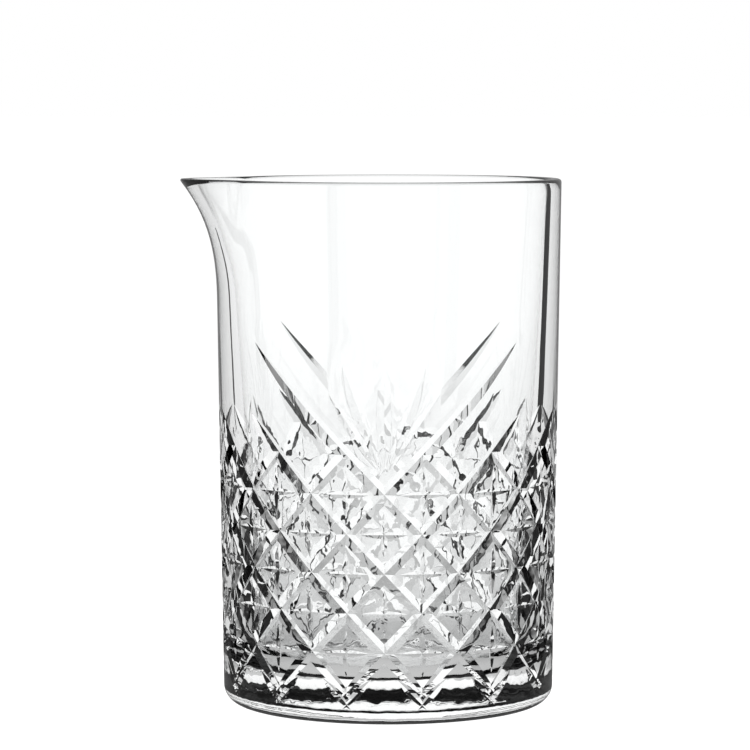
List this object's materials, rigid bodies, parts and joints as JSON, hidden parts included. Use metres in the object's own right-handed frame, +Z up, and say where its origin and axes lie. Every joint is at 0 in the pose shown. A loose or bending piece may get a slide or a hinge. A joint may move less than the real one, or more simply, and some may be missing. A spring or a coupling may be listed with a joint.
{
  "type": "mixing glass",
  "caption": "Clear glass mixing vessel with a pulled pouring lip, a plain upper wall, a diamond-cut lower wall and a thick flat foot.",
  "frame": {"origin": "on the glass's own axis, at the middle of the flat underside that it stands on", "axes": "+Z up along the glass's axis, -X towards the pouring lip, the glass is alike on its +Y and -Y sides"},
  "size_m": [0.1064, 0.0968, 0.147],
  "materials": {
    "clear_glass": "clear, colourless pressed glass, fire-polished"
  },
  "bodies": {
    "root": {"glass_body": "clear_glass"}
  },
  "joints": []
}
